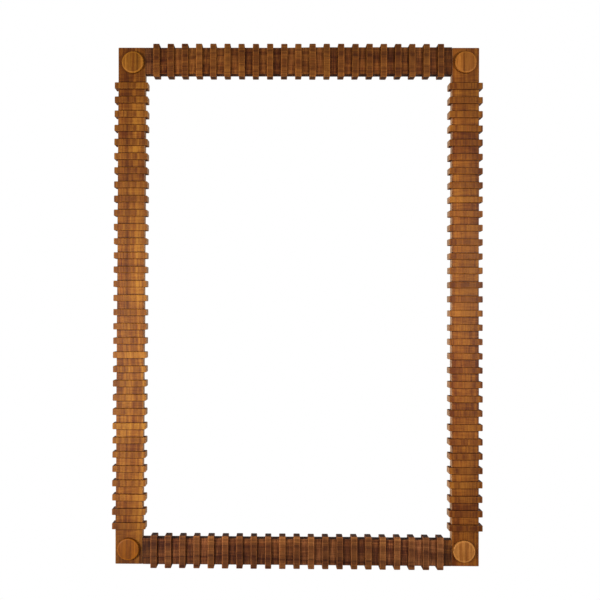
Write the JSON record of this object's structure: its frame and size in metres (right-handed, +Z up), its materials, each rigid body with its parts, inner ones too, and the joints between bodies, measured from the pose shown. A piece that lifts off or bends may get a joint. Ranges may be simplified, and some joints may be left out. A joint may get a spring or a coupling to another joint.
{
  "type": "ribbed wooden wall frame",
  "caption": "Rectangular hardwood wall frame with an open middle, its front and edges cut into close cross ribs, half-lapped corners under round buttons, hung by two D-rings on the back.",
  "frame": {"origin": "middle of the opening, on the plane of the wooden back, which is also the middle of what the frame hangs against", "axes": "front faces -Y, +Y points to the wall, +X to the right seen from the front, +Z up along the stiles"},
  "size_m": [0.6586, 0.0297, 0.9366],
  "materials": {
    "stile_wood": "satin oiled, orange brown, grain along the stile",
    "rail_wood": "satin oiled, darker red brown, grain along the rail",
    "button_wood": "satin oiled, light orange brown, upright grain",
    "dowel_wood": "end grain, unstained",
    "plated_steel": "brass-plated steel",
    "bumper_rubber": "matt"
  },
  "bodies": {
    "frame": {"left_stile": "stile_wood", "right_stile": "stile_wood", "top_rail": "rail_wood", "bottom_rail": "rail_wood", "corner_button_top_left": "button_wood", "corner_button_top_right": "button_wood", "corner_button_bottom_left": "button_wood", "corner_button_bottom_right": "button_wood", "corner_dowel_top_left": "dowel_wood", "corner_dowel_top_right": "dowel_wood", "corner_dowel_bottom_left": "dowel_wood", "corner_dowel_bottom_right": "dowel_wood", "hanger_strap_left": "plated_steel", "hanger_strap_right": "plated_steel", "hanger_screw_left_upper": "plated_steel", "hanger_screw_left_lower": "plated_steel", "hanger_screw_right_upper": "plated_steel", "hanger_screw_right_lower": "plated_steel", "bumper_left": "bumper_rubber", "bumper_right": "bumper_rubber"},
    "left_ring": {"hanger_ring_left": "plated_steel"},
    "right_ring": {"hanger_ring_right": "plated_steel"}
  },
  "joints": [
    {"name": "left_ring_swing", "type": "hinge", "parent": "frame", "child": "left_ring", "pos_m": [-0.2994, 0.003, 0.25], "axis": [-1, 0, 0], "range_deg": [0, 175]},
    {"name": "right_ring_swing", "type": "hinge", "parent": "frame", "child": "right_ring", "pos_m": [0.2994, 0.003, 0.25], "axis": [-1, 0, 0], "range_deg": [0, 175]}
  ]
}
